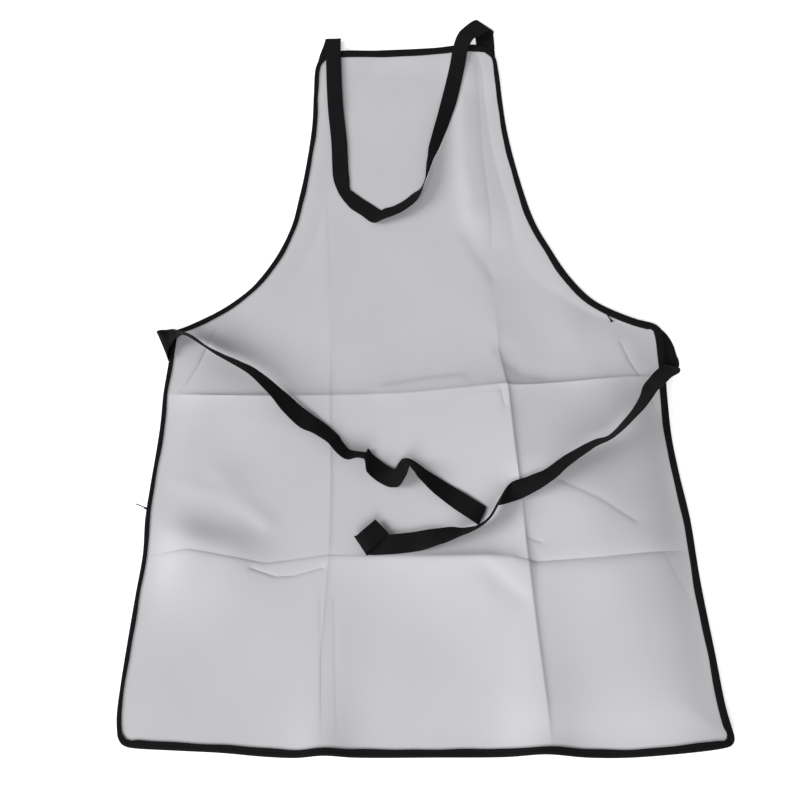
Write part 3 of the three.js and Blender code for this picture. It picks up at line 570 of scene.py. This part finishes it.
ROUNDED_ANGLE = np.radians(60)  # edges sharper than this are rounded
SMOOTH_ANGLE = np.radians(50)


def give_thickness(piece, thickness, offset, rounding=0.0):
    """Makes a sheet solid, with its edges rounded."""
    solid = piece.modifiers.new("thickness", "SOLIDIFY")
    solid.thickness = thickness * MM
    solid.offset = offset
    solid.use_even_offset = True
    bpy.ops.object.modifier_apply(modifier=solid.name)
    if rounding:
        bevel = piece.modifiers.new("rounding", "BEVEL")
        bevel.width = rounding * MM
        bevel.segments = 2
        bevel.limit_method = "ANGLE"
        bevel.angle_limit = ROUNDED_ANGLE
        bpy.ops.object.modifier_apply(modifier=bevel.name)
    bpy.ops.object.shade_smooth_by_angle(angle=SMOOTH_ANGLE)


def close_at_folds(count):
    """Shares from 0 to 1 that are closer together at both ends."""
    share = np.linspace(0, 1, count + 1)
    return share - FOLD_DENSITY * np.sin(2 * np.pi * share) / (2 * np.pi)


def close_at_start(count):
    share = np.linspace(0, 1, count + 1)
    return share - FOLD_DENSITY * np.sin(np.pi * share) / np.pi


# The cloth's grid lines from fold to fold, from left to right and from the hem to the top.
COLUMN_BANDS = (close_at_folds(54), close_at_folds(56), close_at_folds(54))
ROW_BANDS = (close_at_folds(50), close_at_folds(50), close_at_start(110))
LEAST_BAND = 6  # a fold that runs into the edge keeps this far off it
GRID_PASSES = 8  # the grid's x and y depend on each other, and settle over this many passes
CREASE_REACH = 5  # the grid is finer this near to a sharp wrinkle
CREASE_CUTS = 3  # cuts in each edge of a face there


def band_places(bands):
    """For each grid line, the band that it is in and its share of it."""
    band = np.concatenate([np.full(len(s) - (i > 0), i) for i, s in enumerate(bands)])
    share = np.concatenate([s[int(i > 0):] for i, s in enumerate(bands)])
    return band, share


def in_bands(lines, band, share):
    """Places at a share of the way from each band's first line to its second."""
    picked = np.broadcast_to(band, lines.shape[1:])[None]
    start = np.take_along_axis(lines, picked, axis=0)[0]
    end = np.take_along_axis(lines, picked + 1, axis=0)[0]
    return start + (end - start) * share


def panel_grid():
    """The x and y of the cloth's grid, whose lines follow the folds and the outline."""
    cut = {name: edge_lines[name] + inward_lines(name) * (TAPE + GAP) for name in edge_order}
    left = np.vstack((cut["binding_armhole_left"], cut["binding_side_left"][1:]))[::-1]
    right = np.vstack((cut["binding_side_right"], cut["binding_armhole_right"][1:]))
    hem = cut["binding_hem"]
    top = cut["binding_top"][::-1]
    column_band, column_share = band_places(COLUMN_BANDS)
    row_band, row_share = band_places(ROW_BANDS)
    x = np.zeros((len(row_band), len(column_band)))
    y = np.zeros_like(x)
    for _ in range(GRID_PASSES):
        low = np.interp(y, left[:, 1], left[:, 0])
        high = np.interp(y, right[:, 1], right[:, 0])
        left_fold, right_fold, _, _ = at_folds(x, y)
        left_fold = np.maximum(left_fold, low + LEAST_BAND)
        right_fold = np.minimum(right_fold, high - LEAST_BAND)
        x = in_bands(np.stack((low, left_fold, right_fold, high)), column_band, column_share)
        low = np.interp(x, hem[:, 0], hem[:, 1])
        high = np.interp(x, top[:, 0], top[:, 1])
        _, _, waist, skirt = at_folds(x, y)
        y = in_bands(np.stack((low, skirt, waist, high)), row_band[:, None], row_share[:, None])
    return x, y


def refine_at_creases(panel):
    """Splits the cloth's faces beside the sharp wrinkles, which are narrower than a face."""
    mesh = panel.data
    centres = np.empty(len(mesh.polygons) * 3)
    mesh.polygons.foreach_get("center", centres)
    x, y, _ = (centres.reshape(-1, 3) / MM + ORIGIN).T
    away = np.min([beside(wrinkle["line"], x, y)[0] for wrinkle in SHARP_WRINKLES], axis=0)
    bpy.context.tool_settings.mesh_select_mode = (False, False, True)
    bpy.ops.object.mode_set(mode="EDIT")
    bpy.ops.mesh.select_all(action="DESELECT")
    bpy.ops.object.mode_set(mode="OBJECT")
    mesh.polygons.foreach_set("select", away < CREASE_REACH)
    bpy.ops.object.mode_set(mode="EDIT")
    bpy.ops.mesh.subdivide(number_cuts=CREASE_CUTS)
    bpy.ops.object.mode_set(mode="OBJECT")


def make_panel():
    x, y = panel_grid()
    flat = np.stack((x, y, np.zeros(x.shape)), axis=2)
    panel = lay_grid("apron_panel", flat, flat[:, :, :2])
    refine_at_creases(panel)
    spots = read_points(panel.data) / MM + ORIGIN
    spots[:, 2] = cloth_underside(spots[:, 0], spots[:, 1])
    place_points(panel.data, spots)
    give_thickness(panel, CLOTH, 1)
    return panel


TAPE_ROUND = 1.5  # radius of the tape's fold, at the middle of its thickness
TAPE_CROWN = 0.25  # the tape stands this much higher between its fold and its stitches
CROWN_STOP = 2  # and not in the last of its width
TAPE_POINTS = {"flat": 6, "turn": 9}  # on each flat half of the tape and round its fold
TAPE_DRAWN = 0.9  # share of its thickness that is drawn, so that it stays clear of the cloth
TAPE_CUT = 0.25  # rounding of its cut edges
TAPE_WOBBLE = table("rise run", (0.35, 17), (0.2, 7.3))  # how its inner edge wavers along it
WOBBLE_REACH = 3  # in from that edge
TAPE_MARGIN = 3  # a strap rides on the tape up to this far past its inner edge


def tape_profile(width):
    """Depths from the outer edge and heights over the cloth's underside, round the tape's middle layer."""
    middle = CLOTH / 2
    under = np.linspace(width, TAPE_ROUND + TAPE / 2, TAPE_POINTS["flat"])
    turn = np.radians(np.linspace(-90, 90, TAPE_POINTS["turn"]))
    depth = np.concatenate((under, TAPE_ROUND + TAPE / 2 - TAPE_ROUND * np.cos(turn[1:-1]), under[::-1]))
    rise = np.concatenate((
        np.full(len(under), middle - TAPE_ROUND), middle + TAPE_ROUND * np.sin(turn[1:-1]),
        np.full(len(under), middle + TAPE_ROUND),
    ))
    crown = TAPE_CROWN * np.sin(np.pi * np.clip(depth / (width - CROWN_STOP), 0, 1)) ** 2
    return depth, rise + np.where(rise > middle, crown, 0)


def tape_widths(name):
    """The width of tape that shows at each point of an edge, meeting its neighbours' at the corners."""
    edge_before, edge_after = neighbours(name)
    _, _, before = EDGES[edge_before]
    _, start, end = EDGES[name]
    _, after, _ = EDGES[edge_after]
    run = length_along(edge_lines[name])
    square, from_start, from_end = nearness(run)
    along = start + (end - start) * run / run[-1]
    return square * along + from_start * (start + before) / 2 + from_end * (end + after) / 2


def make_binding(name):
    """The tape folded round an edge, with its flat width and length."""
    line = edge_lines[name]
    inward = inward_lines(name)
    widths = tape_widths(name)
    width = np.mean(EDGES[name][1:])
    depth, rise = tape_profile(width)
    start = line.copy()
    start[0] += GAP / 2 * unit(line[1] - line[0])
    start[-1] -= GAP / 2 * unit(line[-1] - line[-2])
    run = length_along(line)
    wobble = sum(swing * np.sin(run / length) for swing, length in zip(*TAPE_WOBBLE.values()))
    waver = wobble[:, None] * ease(depth, width - WOBBLE_REACH, width)[None, :]
    reach = depth[None, :] * (widths / width)[:, None] + waver
    places = start[:, None, :] + inward[:, None, :] * reach[:, :, None]
    low = edge_underside(places[:, :, 0], places[:, :, 1])
    points = np.dstack((places, low + rise[None, :]))
    around = length_along(np.stack((depth, rise), axis=1))
    flat = np.stack(np.broadcast_arrays(around[None, :], run[:, None]), axis=2)
    binding = lay_grid(name + "_tape", points, flat)
    give_thickness(binding, TAPE * TAPE_DRAWN, 0, rounding=TAPE_CUT)
    return binding, around[-1], run[-1]


def strap_support(x, y):
    """The height of what a strap lies on: the cloth, the tape on its edge, or the floor."""
    inset, tape = inset_of(x, y)
    on_tape = np.where(inset < tape + TAPE_MARGIN, TAPE + GAP, 0)
    return np.where(inset < 0, 0, cloth_underside(x, y) + CLOTH + on_tape)


def across_lines(rows):
    """The line across a strap at each of its rows, from its first edge to its second."""
    turn = np.radians(rows["across"])
    tilt = np.radians(rows["tilt"])
    return np.stack((np.cos(turn) * np.cos(tilt), np.sin(turn) * np.cos(tilt), np.sin(tilt)), axis=1)


STEPS_ACROSS = 8  # faces across a strap
REST_REACH = 5  # steps along a strap, to each side, over which its height is evened out
TURN_REACH = 4  # and over which its turns are rounded
WEBBING_CUT = 0.3  # rounding of its edges


def smoothing(reach):
    """Weights that add up to 1, dying out over a reach to each side."""
    weights = np.hanning(2 * reach + 3)[1:-1]
    return weights / weights.sum()


def settle(rest):
    """Heights that clear the given ones and change smoothly along the strap."""
    padded = np.pad(rest, 2 * REST_REACH, mode="edge")
    window = np.lib.stride_tricks.sliding_window_view(padded, 2 * REST_REACH + 1)
    return np.convolve(window.max(axis=1), smoothing(REST_REACH), mode="valid")


def round_turns(points):
    """The strap's points with its sharp turns rounded as webbing bends."""
    padded = np.pad(points, ((TURN_REACH, TURN_REACH), (0, 0), (0, 0)), mode="reflect", reflect_type="odd")
    windows = np.lib.stride_tricks.sliding_window_view(padded, 2 * TURN_REACH + 1, axis=0)
    return windows @ smoothing(TURN_REACH)


def make_strap(name, rows):
    """A strap laid through its rows, resting on what is under it, with its length."""
    line = smooth_line(np.stack((rows["x"], rows["y"], rows["lift"]), axis=1))
    step = np.arange(len(line)) / LINE_STEPS
    row = np.minimum(step.astype(int), len(rows["x"]) - 2)
    blend = ease(step - row, 0, 1)[:, None]
    ends = across_lines(rows)
    side = unit(ends[row] * (1 - blend) + ends[row + 1] * blend)
    along = unit(np.gradient(line, axis=0))
    lean = np.linalg.norm(np.cross(side, along), axis=1)
    slant = rows["slant"][row] * (1 - blend[:, 0]) + rows["slant"][row + 1] * blend[:, 0]
    side *= (STRAP_WIDTH / 2 * slant / np.maximum(MOST_LEAN, lean))[:, None]
    under = rows["under"][row + (blend[:, 0] >= 0.5)]
    share = np.linspace(-1, 1, STEPS_ACROSS + 1)
    places = line[:, None, :] + share[None, :, None] * side[:, None, :]
    needs = strap_support(places[:, :, 0], places[:, :, 1]) * (1 - under[:, None]) - share * side[:, 2:]
    height = np.maximum(0, line[:, 2]) + WEBBING / 2 + settle(needs.max(axis=1))
    middle = np.column_stack((line[:, :2], height))
    points = round_turns(middle[:, None, :] + share[None, :, None] * side[:, None, :])
    run = length_along(middle)
    flat = np.stack(np.broadcast_arrays(share[None, :] * STRAP_WIDTH / 2, run[:, None]), axis=2)
    strap = lay_grid(name + "_webbing", points, flat)
    give_thickness(strap, WEBBING, 0, rounding=WEBBING_CUT)
    return strap, run[-1]


def make_stitches(name):
    """The row of stitches along the inner side of a tape."""
    line = evenly(edge_lines[name], STITCH)
    bpy.ops.mesh.primitive_uv_sphere_add(segments=8, ring_count=4, radius=1)
    stitch = bpy.context.object
    stitch.scale = (STITCH_RADIUS * MM, STITCH * STITCH_SHARE * MM, STITCH_RADIUS * MM)
    bpy.ops.object.transform_apply(scale=True)
    one = read_points(stitch.data)
    faces = [tuple(face.vertices) for face in stitch.data.polygons]
    bpy.ops.object.delete()
    along, inward = directions(line)
    widths = np.interp(length_along(line), length_along(edge_lines[name]), tape_widths(name))
    place = line + inward * (widths - STITCH_INSET)[:, None]
    place, along, inward = (rows[STITCHES_LEFT_OFF:-STITCHES_LEFT_OFF] for rows in (place, along, inward))
    low = edge_underside(place[:, 0], place[:, 1])
    height = low + CLOTH / 2 + TAPE_ROUND + TAPE * TAPE_DRAWN / 2
    centre = (np.column_stack((place, height)) - ORIGIN) * MM
    points = centre[:, None, :] + one[None, :, 2:] * np.array((0, 0, 1))
    points[:, :, :2] += one[None, :, :1] * inward[:, None, :] + one[None, :, 1:2] * along[:, None, :]
    count = len(one)
    mesh = bpy.data.meshes.new(name + "_stitches")
    mesh.from_pydata(
        points.reshape(-1, 3).tolist(), [],
        [tuple(i + count * at for i in face) for at in range(len(centre)) for face in faces],
    )
    stitches = bpy.data.objects.new(name + "_stitches", mesh)
    bpy.context.collection.objects.link(stitches)
    mesh.shade_smooth()
    return stitches


def make_thread(name, thickness, points):
    """A loose end of sewing thread through points over the cloth's underside."""
    curve = bpy.data.curves.new(name, "CURVE")
    curve.dimensions = "3D"
    curve.bevel_depth = thickness / 2 * MM
    curve.bevel_resolution = 1
    curve.use_fill_caps = True
    line = evenly(smooth_line(np.array(points, dtype=float)), thickness)
    line[:, 2] += cloth_underside(line[:, 0], line[:, 1])
    line = (line - ORIGIN) * MM
    spline = curve.splines.new("POLY")
    spline.points.add(len(line) - 1)
    spline.points.foreach_set("co", np.column_stack((line, np.ones(len(line)))).ravel())
    thread = bpy.data.objects.new(name, curve)
    bpy.context.collection.objects.link(thread)
    bpy.context.view_layer.objects.active = thread
    thread.select_set(True)
    bpy.ops.object.convert(target="MESH")
    thread.data.shade_smooth()
    return thread


def add_node(tree, kind, settings=None, **links):
    """A node with its settings, and each named input linked or set."""
    node = tree.nodes.new(kind)
    for key, value in (settings or {}).items():
        setattr(node, key, value)
    for key, value in links.items():
        socket = node.inputs[int(key[1:])] if key[0] == "_" else node.inputs[key.replace("_", " ")]
        if isinstance(value, bpy.types.NodeSocket):
            tree.links.new(value, socket)
        else:
            socket.default_value = value
    return node


def new_group(name, inputs, outputs):
    group = bpy.data.node_groups.new(name, "ShaderNodeTree")
    for label, kind, value in inputs:
        socket = group.interface.new_socket(label, in_out="INPUT", socket_type=kind)
        if value is not None:
            socket.default_value = value
    for label, kind in outputs:
        group.interface.new_socket(label, in_out="OUTPUT", socket_type=kind)
    return group, group.nodes.new("NodeGroupInput"), group.nodes.new("NodeGroupOutput")


def math_node(tree, operation, first, second=0.0, third=0.0):
    node = add_node(tree, "ShaderNodeMath", {"operation": operation}, _0=first, _1=second, _2=third)
    return node.outputs[0]


def make_weave():
    """Threads that pass over and under each other, with their pitch in threads to the metre."""
    group, start, end = new_group(
        "weave",
        [("Vector", "NodeSocketVector", None), ("Across", "NodeSocketFloat", 1000.0),
         ("Along", "NodeSocketFloat", 1000.0)],
        [("Height", "NodeSocketFloat")],
    )
    split = add_node(group, "ShaderNodeSeparateXYZ", Vector=start.outputs["Vector"])
    waves = []
    for axis, pitch in (("X", "Across"), ("Y", "Along")):
        turns = math_node(group, "MULTIPLY", split.outputs[axis], start.outputs[pitch])
        waves.append(math_node(group, "SINE", math_node(group, "MULTIPLY", turns, np.pi)))
    height = math_node(group, "MULTIPLY_ADD", math_node(group, "MULTIPLY", *waves), 0.5, 0.5)
    group.links.new(height, end.inputs["Height"])
    return group


def make_handling():
    """Soft blotches where cloth has been handled, from 0 to 1."""
    group, start, end = new_group(
        "handling",
        [("Vector", "NodeSocketVector", None), ("Broad", "NodeSocketFloat", 9.0),
         ("Fine", "NodeSocketFloat", 70.0)],
        [("Shade", "NodeSocketFloat"), ("Grain", "NodeSocketFloat")],
    )
    broad = add_node(
        group, "ShaderNodeTexNoise", Vector=start.outputs["Vector"], Scale=start.outputs["Broad"], Detail=3.0,
    )
    fine = add_node(
        group, "ShaderNodeTexNoise", Vector=start.outputs["Vector"], Scale=start.outputs["Fine"], Detail=5.0,
    )
    group.links.new(broad.outputs[0], end.inputs["Shade"])
    group.links.new(fine.outputs[0], end.inputs["Grain"])
    return group


weave = make_weave()
handling = make_handling()


def new_material(name):
    material = bpy.data.materials.new(name)
    material.use_nodes = True
    tree = material.node_tree
    uv = add_node(tree, "ShaderNodeUVMap").outputs[0]
    return material, tree, tree.nodes["Principled BSDF"], uv


def mix_colours(tree, share, first, second):
    node = add_node(tree, "ShaderNodeMix", {"data_type": "RGBA"}, _0=share, _6=first, _7=second)
    return node.outputs[2]


CLOTH_COLOURS = ((0.4, 0.3975, 0.416, 1), (0.458, 0.4556, 0.4756, 1))
CLOTH_THREADS = 900.0  # to the metre
CLOTH_ROUGHNESS = {"least": 0.5, "grain": 0.16}
CLOTH_GRAIN = 0.6  # height of the grain beside that of the threads
CLOTH_BUMP = {"Strength": 0.12, "Distance": 0.0002}
CLOTH_GLOSS = 0.35
BLACK_MARKS = {"Broad": 30.0, "Fine": 400.0}  # narrow tape and webbing have finer marks than the cloth
BLACK_GRAIN = 0.2  # how much rougher the grain makes them
BLACK_BUMP = 0.5
BLACK_GLOSS = 0.1


def coated_cloth():
    material, tree, finish, uv = new_material("coated_cloth")
    marks = add_node(tree, "ShaderNodeGroup", {"node_tree": handling}, Vector=uv)
    threads = add_node(
        tree, "ShaderNodeGroup", {"node_tree": weave}, Vector=uv, Across=CLOTH_THREADS, Along=CLOTH_THREADS,
    )
    colour = mix_colours(tree, marks.outputs["Shade"], *CLOTH_COLOURS)
    tree.links.new(colour, finish.inputs["Base Color"])
    rough = math_node(
        tree, "MULTIPLY_ADD", marks.outputs["Grain"], CLOTH_ROUGHNESS["grain"], CLOTH_ROUGHNESS["least"],
    )
    tree.links.new(rough, finish.inputs["Roughness"])
    height = math_node(tree, "MULTIPLY_ADD", marks.outputs["Grain"], CLOTH_GRAIN, threads.outputs["Height"])
    bump = add_node(tree, "ShaderNodeBump", **CLOTH_BUMP, Height=height)
    tree.links.new(bump.outputs[0], finish.inputs["Normal"])
    finish.inputs["Specular IOR Level"].default_value = CLOTH_GLOSS
    return material


def black_cloth(name, colours, across, along, depth, rough):
    """Woven black: its colours, threads to the metre across and along, their depth and its roughness."""
    material, tree, finish, uv = new_material(name)
    marks = add_node(tree, "ShaderNodeGroup", {"node_tree": handling}, Vector=uv, **BLACK_MARKS)
    threads = add_node(tree, "ShaderNodeGroup", {"node_tree": weave}, Vector=uv, Across=across, Along=along)
    share = math_node(tree, "MULTIPLY", marks.outputs["Shade"], threads.outputs["Height"])
    tree.links.new(mix_colours(tree, share, *colours), finish.inputs["Base Color"])
    rough = math_node(tree, "MULTIPLY_ADD", marks.outputs["Grain"], BLACK_GRAIN, rough)
    tree.links.new(rough, finish.inputs["Roughness"])
    bump = add_node(
        tree, "ShaderNodeBump", Strength=BLACK_BUMP, Distance=depth, Height=threads.outputs["Height"],
    )
    tree.links.new(bump.outputs[0], finish.inputs["Normal"])
    finish.inputs["Specular IOR Level"].default_value = BLACK_GLOSS
    return material


cloth_finish = coated_cloth()
tape_finish = black_cloth(
    "binding_tape", ((0.003, 0.003, 0.0033, 1), (0.007, 0.007, 0.0075, 1)),
    across=1400.0, along=1400.0, depth=0.0002, rough=0.7,
)
webbing_finish = black_cloth(
    "webbing", ((0.003, 0.003, 0.0034, 1), (0.008, 0.008, 0.0086, 1)),
    across=900.0, along=700.0, depth=0.0003, rough=0.7,
)
thread_finish = black_cloth(
    "sewing_thread", ((0.007, 0.007, 0.008, 1), (0.015, 0.015, 0.016, 1)),
    across=2000.0, along=2000.0, depth=0.0001, rough=0.55,
)


def settle_in(piece, material, slot, *nodes):
    """Gives a finished piece its material and its body, and hides the solids that it stands for."""
    piece.data.materials.clear()
    piece.data.materials.append(material)
    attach(piece, "root")
    if nodes:
        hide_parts(*nodes)
    bpy.ops.object.select_all(action="DESELECT")


panel = make_panel()
settle_in(panel, cloth_finish, "coated_cloth", "panel")

for name in EDGES:
    binding, flat_width, flat_length = make_binding(name)
    settle_in(binding, tape_finish, "binding_tape", name)
    stitches = make_stitches(name)
    settle_in(stitches, thread_finish, "binding_tape")

for name, rows in (
    ("neck_strap", NECK_STRAP), ("waist_tie_left", WAIST_TIE_LEFT), ("waist_tie_right", WAIST_TIE_RIGHT),
):
    strap, length = make_strap(name, rows)
    settle_in(strap, webbing_finish, "webbing", name)

for name, (thickness, points) in LOOSE_THREADS.items():
    settle_in(make_thread(name, thickness, points), thread_finish, "binding_tape")

# The floor, the camera and the light are in metres.
FLOOR_SIZE = 12
FLOOR_DROP = 0.0002  # clear of the cloth that lies on it
FLOOR_LOOK = {
    "Base Color": (0.92, 0.92, 0.92, 1),
    "Roughness": 0.9,
    "Specular IOR Level": 0.0,
    "Emission Color": (1, 1, 1, 1),
    "Emission Strength": 0.3,
}
bpy.ops.mesh.primitive_plane_add(size=FLOOR_SIZE, location=(0, 0, -FLOOR_DROP))
floor = bpy.context.object
floor.name = "floor"
floor_finish = bpy.data.materials.new("pale_floor")
floor_finish.use_nodes = True
for socket, value in FLOOR_LOOK.items():
    floor_finish.node_tree.nodes["Principled BSDF"].inputs[socket].default_value = value
floor.data.materials.append(floor_finish)

CAMERA_PLACE = Vector((-0.019110, -0.481105, 0.847414))
CAMERA_AIM = Vector((-0.019110, -0.110276, 0))
LENS = 36  # millimetres, on a sensor as wide
bpy.ops.object.camera_add(
    location=CAMERA_PLACE, rotation=(CAMERA_AIM - CAMERA_PLACE).to_track_quat("-Z", "Y").to_euler(),
)
camera = bpy.context.object
camera.data.lens = LENS
camera.data.sensor_width = LENS
bpy.context.scene.camera = camera

# Each softbox with the direction in which it stands and its power.
SOFTBOXES = {"softbox_left": ((-1.9, -0.35, 1), 2.95), "softbox_front": ((-0.3, -1.5, 1), 2.53)}
SOFTBOX_SPREAD = np.radians(30)
ROOM_LIGHT = 0.376
for name, (towards, power) in SOFTBOXES.items():
    aim = Vector(towards)
    bpy.ops.object.light_add(type="SUN", location=aim, rotation=(-aim).to_track_quat("-Z", "Y").to_euler())
    softbox = bpy.context.object
    softbox.name = name
    softbox.data.energy = power
    softbox.data.angle = SOFTBOX_SPREAD
world = bpy.data.worlds.new("studio")
bpy.context.scene.world = world
world.use_nodes = True
world.node_tree.nodes["Background"].inputs["Color"].default_value = (1, 1, 1, 1)
world.node_tree.nodes["Background"].inputs["Strength"].default_value = ROOM_LIGHT
bpy.context.scene.view_settings.view_transform = "Standard"
bpy.context.scene.view_settings.look = "None"
